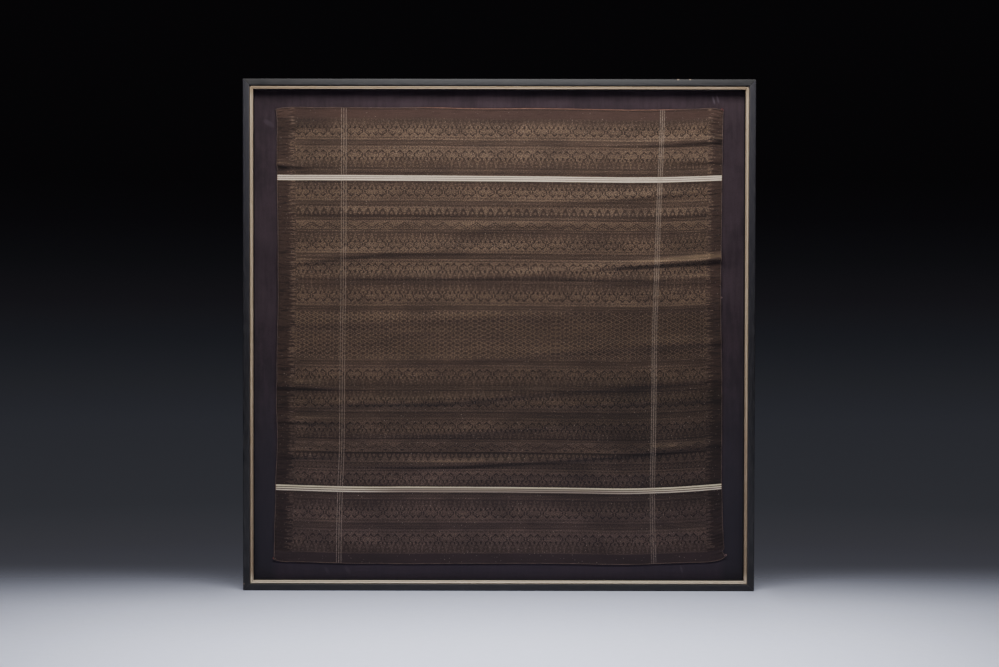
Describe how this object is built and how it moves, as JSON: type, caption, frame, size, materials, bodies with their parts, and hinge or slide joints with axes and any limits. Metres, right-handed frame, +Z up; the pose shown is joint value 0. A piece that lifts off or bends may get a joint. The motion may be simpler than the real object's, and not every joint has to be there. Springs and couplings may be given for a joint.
{
  "type": "songket cloth in a box frame",
  "caption": "Square brown and gold songket cloth in bands of small woven motifs, stitched to a dark fabric-covered board in a deep black frame with a gilt slip.",
  "frame": {"origin": "middle of the frame's footprint, on the surface it stands on", "axes": "+Z up, +Y from the frame's front to its back, so the cloth faces -Y; +X to the right seen from the front"},
  "size_m": [1, 0.045, 1],
  "materials": {
    "songket_weave": "dark brown silk and cotton ground with dull gold supplementary weft in banded motifs, two cream stripes",
    "mount_fabric": "plain closely woven dark aubergine fabric over board",
    "black_rail": "black stain with a brushed satin lacquer, rubbed at the edges",
    "gilt_slip": "worn pale gilt over two ribs",
    "black_spacer": "matt black paint"
  },
  "bodies": {
    "root": {"songket_cloth": "songket_weave", "mount_board": "mount_fabric", "rail_top": "black_rail", "rail_bottom": "black_rail", "rail_left": "black_rail", "rail_right": "black_rail", "slip_top": "gilt_slip", "slip_bottom": "gilt_slip", "slip_left": "gilt_slip", "slip_right": "gilt_slip", "spacer_top": "black_spacer", "spacer_bottom": "black_spacer", "spacer_left": "black_spacer", "spacer_right": "black_spacer"}
  },
  "joints": []
}
